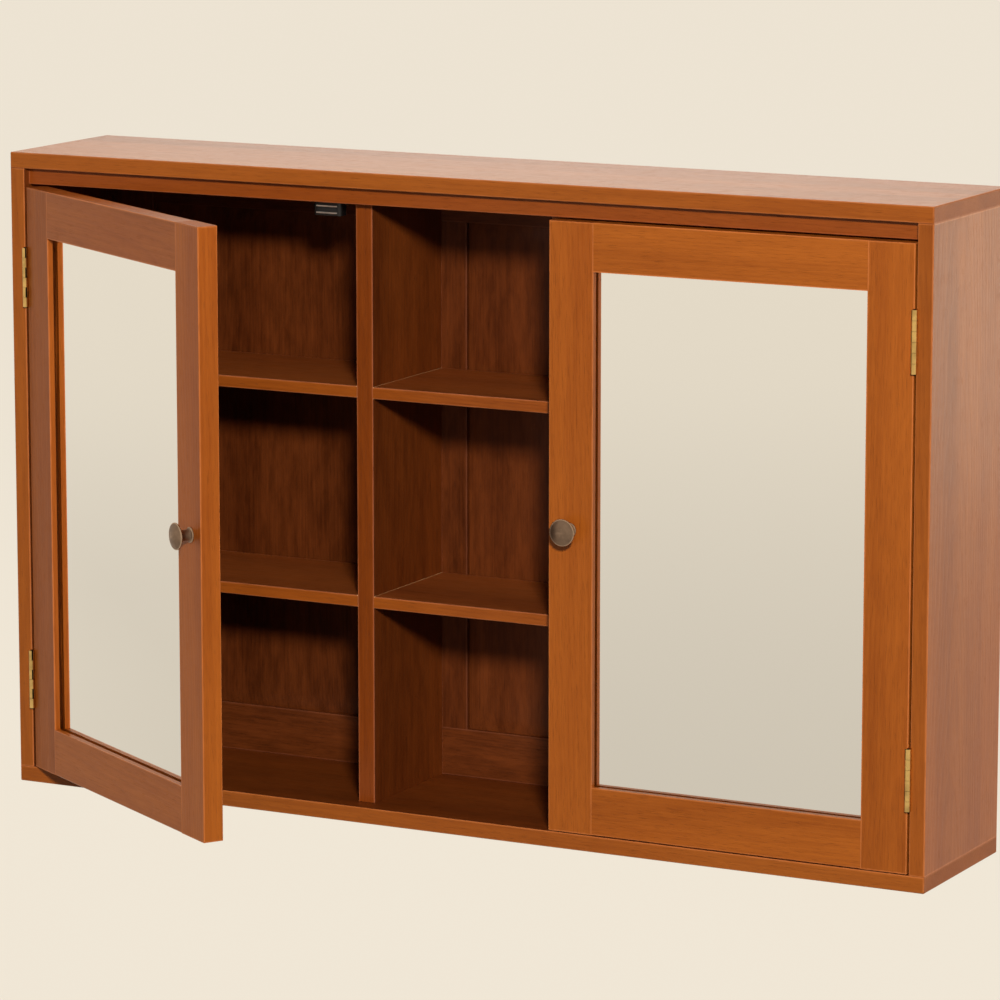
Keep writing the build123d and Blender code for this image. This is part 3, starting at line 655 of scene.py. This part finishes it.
def board(node, slot, look, facing=(0, 0, 0), facing_look=None):
    """A timber piece with eased edges and its grain along its longest side.

    The faces that look along facing take a second look, which the callers use mostly for painted light and shade
    on one timber.
    """
    bm = welded(node)
    ease(bm, bpy.context.scene.cabinet_timber.eased, SHORTEST_EASED)
    mark_grain(bm, node)
    bm.normal_update()
    for face in bm.faces:
        face.material_index = int(face.normal.dot(Vector(facing)) > 0.9)
    looks = (look, facing_look) if facing_look else (look,)
    finish_piece(bm, f"{node}_timber", node, looks)


def lathe(bm, matrix, profile, around=64, layer=None):
    """Turns a profile of (radius, height, proud) about the matrix's Z; radius 0 closes it."""
    rings = []
    for radius, height, proud in profile:
        count = around if radius else 1
        ring = []
        for index in range(count):
            angle = 2 * pi * index / around
            point = Vector((radius * cos(angle), radius * sin(angle), height))
            vert = bm.verts.new(matrix @ point)
            if layer:
                vert[layer] = proud
            ring.append(vert)
        rings.append(ring)
    for lower, upper in zip(rings, rings[1:]):
        for index in range(around):
            following = (index + 1) % around
            corners = [
                lower[index % len(lower)], lower[following % len(lower)],
                upper[following % len(upper)], upper[index % len(upper)],
            ]
            corners = list(dict.fromkeys(corners))
            if len(corners) > 2:
                bm.faces.new(corners)


# --- Operators: one for each group of pieces ---
class CABINET_OT_carcass(bpy.types.Operator):
    """Makes the top, bottom, sides, partitions, head rail and corner dowels."""

    bl_idname = "cabinet.carcass"
    bl_label = "Carcass"

    def execute(self, context):
        # The inward faces of the outer boards take the darker inside copy: painted shade
        for node, inwards in INWARDS.items():
            board(node, "carcass_teak", "carcass_teak", inwards, "inside_teak")
        # The partitions take the darker inside copy, painted shade, and their fronts the rail copy
        for node in PARTITIONS:
            board(node, "carcass_teak", "inside_teak", FORWARDS, "rail_teak")
        # The head rail takes the darker rail copy: painted shade under the top's overhang
        board("head_rail", "carcass_teak", "rail_teak")
        board("corner_dowels", "dowel_beech", "dowel_beech")
        return {"FINISHED"}


class CABINET_OT_shelves(bpy.types.Operator):
    """Makes the six fixed shelves."""

    bl_idname = "cabinet.shelves"
    bl_label = "Shelves"

    def execute(self, context):
        # The shelves take the darker copy and their fronts the lighter one: painted light and shade
        for node in SHELVES:
            board(node, "shelf_teak", "shelf_teak", FORWARDS, "shelf_edge")
        return {"FINISHED"}


class CABINET_OT_back(bpy.types.Operator):
    """Makes the frame and the fielded panels of the back."""

    bl_idname = "cabinet.back"
    bl_label = "Back"

    def execute(self, context):
        # The back takes the dark copy of the teak: painted shade
        for node in BACK:
            board(node, "back_teak", "back_teak")
        return {"FINISHED"}


class CABINET_OT_doors(bpy.types.Operator):
    """Makes the stiles, rails and retaining beads of both doors."""

    bl_idname = "cabinet.doors"
    bl_label = "Door frames"

    def execute(self, context):
        for side, _ in SIDES:
            for member in DOOR_MEMBERS:
                # Painted light: the upward faces of the door members take the carcass copy of the teak, unlike the
                # fronts
                board(f"{side}_door_{member}", "door_teak", "door_teak", UPWARDS, "carcass_teak")
        return {"FINISHED"}


class CABINET_OT_mirrors(bpy.types.Operator):
    """Makes the mirrors, whose silver lies behind the glass, and the boards behind them."""

    bl_idname = "cabinet.mirrors"
    bl_label = "Mirrors"

    def execute(self, context):
        for side, _ in SIDES:
            node = f"{side}_door_mirror"
            bm = welded(node)
            front = min(v.co.y for v in bm.verts)
            for vert in bm.verts:
                if vert.co.y < front + 1 * MM:
                    vert.co.y += SILVER_DEPTH
            ease(bm, PLATE_EASE, SHORTEST_EASED)
            bm.normal_update()
            for face in bm.faces:
                face.material_index = 0 if face.normal.y < -0.9 else 2 if face.normal.y > 0.9 else 1
            slots = ("mirror", "glass_edge", "mirror_back")
            finish_piece(bm, f"{side}_mirror_plate", node, slots)
            node = f"{side}_door_backing_board"
            bm = welded(node)
            ease(bm, PLATE_EASE, SHORTEST_EASED)
            piece = finish_piece(bm, f"{side}_pressed_board", node, ("backing_board",))
        return {"FINISHED"}


def metal_piece(node, name, slot, width=METAL_EASE, look=None):
    """A metal or moulded piece with its corners broken."""
    bm = welded(node)
    ease(bm, width, SHORTEST_METAL_EDGE)
    finish_piece(bm, name, node, (look or slot,))


def slotted_screws(node, name):
    """Countersunk screws with slotted heads, on the axes of the node's plain ones."""
    source = welded(node)
    bm = bmesh.new()
    luck = random.Random(node)
    for group in islands(source):
        middle, half = extent(group)
        axis = max(range(3), key=lambda i: half[i])
        reach = {
            v: sqrt(sum((v.co[i] - middle[i]) ** 2 for i in range(3) if i != axis)) for v in group
        }
        widest = max(reach.values())
        ring = [v for v in group if reach[v] > widest * 0.98]
        head = sum(v.co[axis] for v in ring) / len(ring)
        outward = 1 if head > middle[axis] else -1
        face = middle[axis] + outward * half[axis]
        direction = Vector(outward if i == axis else 0 for i in range(3))
        origin = Vector(face if i == axis else middle[i] for i in range(3))
        turn = direction.to_track_quat("Z", "Y").to_matrix().to_4x4()
        place = Matrix.Translation(origin) @ turn @ Matrix.Rotation(luck.uniform(0, pi), 4, "Z")
        screw(bm, place, widest, 2 * half[axis], abs(face - head) > 0.5 * MM)
    source.free()
    bmesh.ops.recalc_face_normals(bm, faces=bm.faces)
    finish_piece(bm, name, node, ("brass_screw",), 30.0)


def screw(bm, place, radius, length, domed, around=32):
    """One screw with its head's top at the place's origin, pointing down its Z."""
    sizes = bpy.context.scene.cabinet_metal
    slot_half, slot_depth = sizes.slot_width / 2, sizes.slot_depth
    crown = 0.8 * MM if domed else 0.0
    under = 1.6 * MM if domed else 1.0 * MM
    core, root = radius * 0.5, 0.78
    pitch, flank = 1.1 * MM, 0.3 * MM
    plain_end, taper, point = 2 * MM, 1.2 * MM, 0.2 * MM

    def place_vert(x, y, z):
        return bm.verts.new(place @ Vector((x, y, z)))

    def head_height(x, y):
        return -crown * (x * x + y * y) / (radius * radius)

    rim = []
    for index in range(around):
        angle = 2 * pi * (index + 0.5) / around
        rim.append((radius * cos(angle), radius * sin(angle)))
    halves = [[p for p in rim if p[1] > slot_half], [p for p in rim if p[1] < -slot_half]]
    slot_end = sqrt(radius * radius - slot_half * slot_half)
    for sign, arc in zip((1, -1), halves):
        start, end = (sign * slot_end, sign * slot_half), (-sign * slot_end, sign * slot_half)
        outline = [start, *sorted(arc, key=lambda p: -sign * p[0]), end]
        top = [place_vert(x, y, head_height(x, y)) for x, y in outline]
        middle = place_vert(0, sign * slot_half, 0)
        for a, b in zip(top, top[1:]):
            bm.faces.new((a, b, middle))
        wall = (start, (0, sign * slot_half), end)
        low = [place_vert(x, y, head_height(x, y) - slot_depth) for x, y in wall]
        bm.faces.new((top[0], middle, low[1], low[0]))
        bm.faces.new((middle, top[-1], low[2], low[1]))
        skirt = [place_vert(x * core / radius, y * core / radius, -under) for x, y in outline]
        for index in range(len(outline) - 1):
            bm.faces.new((top[index + 1], top[index], skirt[index], skirt[index + 1]))
    floor = head_height(slot_end, slot_half) - slot_depth
    bm.faces.new([
        place_vert(sx * slot_end, sy * slot_half, floor)
        for sx, sy in ((1, 1), (-1, 1), (-1, -1), (1, -1))
    ])
    thread = [(core, -under, 0)]
    turns = max(4, int((length - under) / pitch))
    for index in range(turns):
        down = -under - (length - under - plain_end) * (index + 0.5) / turns
        thread += [(core * root, down + flank, 0), (core, down, 0)]
    thread += [(core * 0.7, -length + taper, 0), (0, -length + point, 0)]
    lathe(bm, place, thread, 16)


class CABINET_OT_hinges(bpy.types.Operator):
    """Makes the leaves, pins and slotted screws of the four butt hinges."""

    bl_idname = "cabinet.hinges"
    bl_label = "Hinges"

    def execute(self, context):
        for side, _ in SIDES:
            for place in PLACES:
                for leaf in LEAVES:
                    node = f"{side}_{place}_hinge_{leaf}"
                    metal_piece(node, f"{side}_{place}_brass_{leaf}", "hinge_brass")
            slotted_screws(f"{side}_door_screws", f"{side}_door_slotted_screws")
        # The pins take the dark metal look, not the hinges' brass
        metal_piece("hinge_pins", "steel_hinge_pins", "hinge_brass", 0.25 * MM, "pin_steel")
        slotted_screws("cabinet_screws", "cabinet_slotted_screws")
        return {"FINISHED"}


class CABINET_OT_knobs(bpy.types.Operator):
    """Turns the two knobs, with a beaded foot, a waist and a domed face."""

    bl_idname = "cabinet.knobs"
    bl_label = "Knobs"

    def execute(self, context):
        for side, _ in SIDES:
            node = f"{side}_door_knob"
            source = welded(node)
            middle, half = extent(source.verts)
            source.free()
            foot = Matrix.Translation((middle.x, middle.y + half.y, middle.z))
            place = foot @ Matrix.Rotation(pi / 2, 4, "X")
            bm = bmesh.new()
            layer = bm.verts.layers.float.new("proud")
            lathe(bm, place, knob_profile(half.x, 2 * half.y), 96, layer)
            bmesh.ops.recalc_face_normals(bm, faces=bm.faces)
            piece = finish_piece(bm, f"{side}_turned_knob", node, ("knob_bronze",), 50.0)
            metal_piece(f"{node}_screw", f"{side}_knob_bolt", "zinc_screw")
        return {"FINISHED"}


def knob_profile(disc, height):
    """Radius, height and how proud of its neighbours each ring of a knob stands."""
    foot, neck = disc * 0.583, disc * 0.394
    foot_height, waist_height, flare_height = 1.4 * MM, 5.6 * MM, 7.2 * MM
    dome_height = 3.5 * MM
    rim = height - 3.6 * MM
    brim, face = disc - 1.2 * MM, disc - 1.5 * MM
    shoulder = foot - 0.9 * MM
    waist_steps, dome_steps = 8, 12

    profile = [
        (0.0, 0.0, 0.0),
        (foot, 0.0, 0.2),
        (foot, 0.4 * MM, 0.6),
        (foot - 0.2 * MM, 1.0 * MM, 0.9),
        (foot - 0.7 * MM, foot_height, 0.7),
    ]
    for index in range(1, waist_steps + 1):
        share = index / waist_steps
        sweep = 1 - sqrt(1 - (1 - share) ** 2)
        profile.append((neck + (shoulder - neck) * sweep, foot_height + waist_height * share, 0.0))
    for index in range(1, waist_steps + 1):
        share = index / waist_steps
        flare = 1 - sqrt(max(0.0, 1 - share ** 2))
        up = foot_height + waist_height + flare_height * share
        profile.append((neck + (brim - neck) * flare, up, 0.1))
    profile += [
        (disc - 0.5 * MM, rim - 1.8 * MM, 0.7),
        (disc, rim - 1.3 * MM, 1.0),
        (disc, rim - 0.5 * MM, 1.0),
        (disc - 0.35 * MM, rim - 0.1 * MM, 1.0),
        (disc - 1.1 * MM, rim, 0.5),
        (face, rim + 0.05 * MM, 0.0),
    ]
    for index in range(1, dome_steps + 1):
        share = index / dome_steps
        rise = dome_height * (1 - (1 - share) ** 2)
        profile.append((face * (1 - share), rim + 0.05 * MM + rise, 0.15 + 0.45 * share))
    return profile


class CABINET_OT_catches(bpy.types.Operator):
    """Makes the magnetic catches and their strike plates."""

    bl_idname = "cabinet.catches"
    bl_label = "Catches"

    def execute(self, context):
        for side, _ in SIDES:
            metal_piece(f"{side}_catch_body", f"{side}_moulded_catch", "catch_plastic", 0.3 * MM)
            metal_piece(f"{side}_door_strike_plate", f"{side}_steel_strike", "catch_steel")
        metal_piece("catch_pole_plates", "steel_pole_plates", "catch_steel")
        metal_piece("catch_magnets", "ferrite_magnets", "magnet")
        return {"FINISHED"}


# --- Studio ---
def area_lamp(name, azimuth, elevation, distance, size, power, colour):
    """A round lamp aimed at the cabinet, from an azimuth counted from straight in front."""
    turn, rise = radians(azimuth), radians(elevation)
    away = Vector((sin(turn) * cos(rise), -cos(turn) * cos(rise), sin(rise)))
    data = bpy.data.lights.new(name, "AREA")
    data.shape = "DISK"
    data.size = size
    data.energy = power
    data.color = colour
    lamp = bpy.data.objects.new(name, data)
    lamp.location = away * distance
    lamp.rotation_euler = away.to_track_quat("Z", "Y").to_euler()
    bpy.context.scene.collection.objects.link(lamp)
    return lamp


class CABINET_OT_studio(bpy.types.Operator):
    """Sets up the pale floor and backdrop, the soft lamps and the camera."""

    bl_idname = "cabinet.studio"
    bl_label = "Studio"

    def execute(self, context):
        scene = context.scene
        studio = scene.cabinet_studio
        scene.view_settings.view_transform = "Standard"
        self.sweep(tuple(studio.backdrop))
        key = ("key lamp", 31, 22.3, 5.5, 0.6, studio.key_power, WARM_WHITE)
        for lamp in (key, *LAMPS):
            area_lamp(*lamp).visible_glossy = False
        for lamp in SHEEN_LAMPS:
            area_lamp(*lamp).visible_camera = False
        world = bpy.data.worlds.new("studio air")
        world.use_nodes = True
        air = world.node_tree.nodes["Background"]
        air.inputs["Color"].default_value = (1.0, 0.93, 0.85, 1.0)
        air.inputs["Strength"].default_value = studio.ambient
        scene.world = world
        camera_data = bpy.data.cameras.new("camera")
        camera_data.sensor_width = 36.0
        camera_data.lens = studio.lens
        camera_data.clip_end = 100.0
        camera = bpy.data.objects.new("camera", camera_data)
        camera.location = CAMERA_PLACE
        camera.rotation_euler = (pi / 2 - studio.drop, 0.0, studio.azimuth)
        scene.collection.objects.link(camera)
        scene.camera = camera
        return {"FINISHED"}

    def sweep(self, colour):
        """A round floor that turns up into a wall and a roof, seen from inside only."""
        floor_z, wall_z, roof_z = -1.3, 8.0, 10.0
        inner_radius, floor_radius, cove, steps = 3.0, 9.0, 3.0, 12
        profile = [(0.0, floor_z, 0), (inner_radius, floor_z, 0), (floor_radius, floor_z, 0)]
        for index in range(1, steps + 1):
            angle = pi / 2 * index / steps
            profile.append(
                (floor_radius + cove * sin(angle), floor_z + cove * (1 - cos(angle)), 0)
            )
        profile += [(floor_radius + cove, wall_z, 0), (0.0, roof_z, 0)]
        bm = bmesh.new()
        lathe(bm, Matrix.Identity(4), profile, 128)
        bmesh.ops.recalc_face_normals(bm, faces=bm.faces)
        bmesh.ops.reverse_faces(bm, faces=bm.faces)
        mesh = bpy.data.meshes.new("studio_sweep")
        bm.to_mesh(mesh)
        bm.free()
        mesh.shade_smooth()
        surface = Surface("studio_paper")
        shade = surface.shade
        place = surface.place()
        # The paper glows instead of being lit, with painted light: dimmer near the middle and in front, brighter
        # far off and behind
        far = place.vector("LENGTH", output=1).rise(3.0, 11.0)
        behind = place.parts()[1].rise(-0.6, 1.6)
        tint = far.math("MAXIMUM", behind).mix(scaled(colour, 0.74), colour)
        surface.set("Base Color", (0.03, 0.028, 0.025))
        surface.set("Roughness", 1.0)
        surface.set("Specular IOR Level", 0.0)
        surface.set("Emission Color", tint)
        surface.set("Emission Strength", 1.0)
        outside = shade.node("ShaderNodeNewGeometry", None, None, 6)
        clear = shade.node("ShaderNodeBsdfTransparent")
        both = shade.node(
            "ShaderNodeMixShader", None,
            {0: outside, 1: Shade(shade.tree, surface.shader.outputs[0]), 2: clear},
        )
        output = shade.tree.nodes["Material Output"]
        shade.tree.links.new(both.socket, output.inputs["Surface"])
        mesh.materials.append(surface.material)
        piece = bpy.data.objects.new("studio_sweep", mesh)
        piece.visible_diffuse = False
        piece.visible_shadow = False
        bpy.context.scene.collection.objects.link(piece)


class CABINET_PT_panel(bpy.types.Panel):
    """Lists the cabinet's settings and the steps that make it."""

    bl_idname = "CABINET_PT_panel"
    bl_label = "Teak Mirror Cabinet"
    bl_space_type = "VIEW_3D"
    bl_region_type = "UI"
    bl_category = "Cabinet"

    def draw(self, context):
        for group in (
            context.scene.cabinet_timber, context.scene.cabinet_metal, context.scene.cabinet_studio,
        ):
            box = self.layout.box()
            for name in group.__annotations__:
                box.prop(group, name)
        for step in STEPS:
            self.layout.operator(step.bl_idname)


STEPS = (
    CABINET_OT_carcass, CABINET_OT_shelves, CABINET_OT_back, CABINET_OT_doors,
    CABINET_OT_mirrors, CABINET_OT_hinges, CABINET_OT_knobs, CABINET_OT_catches,
    CABINET_OT_studio,
)
CLASSES = (CabinetTimber, CabinetMetal, CabinetStudio, *STEPS, CABINET_PT_panel)


def register():
    for cls in CLASSES:
        bpy.utils.register_class(cls)
    bpy.types.Scene.cabinet_timber = bpy.props.PointerProperty(type=CabinetTimber)
    bpy.types.Scene.cabinet_metal = bpy.props.PointerProperty(type=CabinetMetal)
    bpy.types.Scene.cabinet_studio = bpy.props.PointerProperty(type=CabinetStudio)


def unregister():
    del bpy.types.Scene.cabinet_studio
    del bpy.types.Scene.cabinet_metal
    del bpy.types.Scene.cabinet_timber
    for cls in reversed(CLASSES):
        bpy.utils.unregister_class(cls)


def main():
    register()
    for step in STEPS:
        group, name = step.bl_idname.split(".")
        getattr(getattr(bpy.ops, group), name)()


if __name__ == "__main__":
    main()
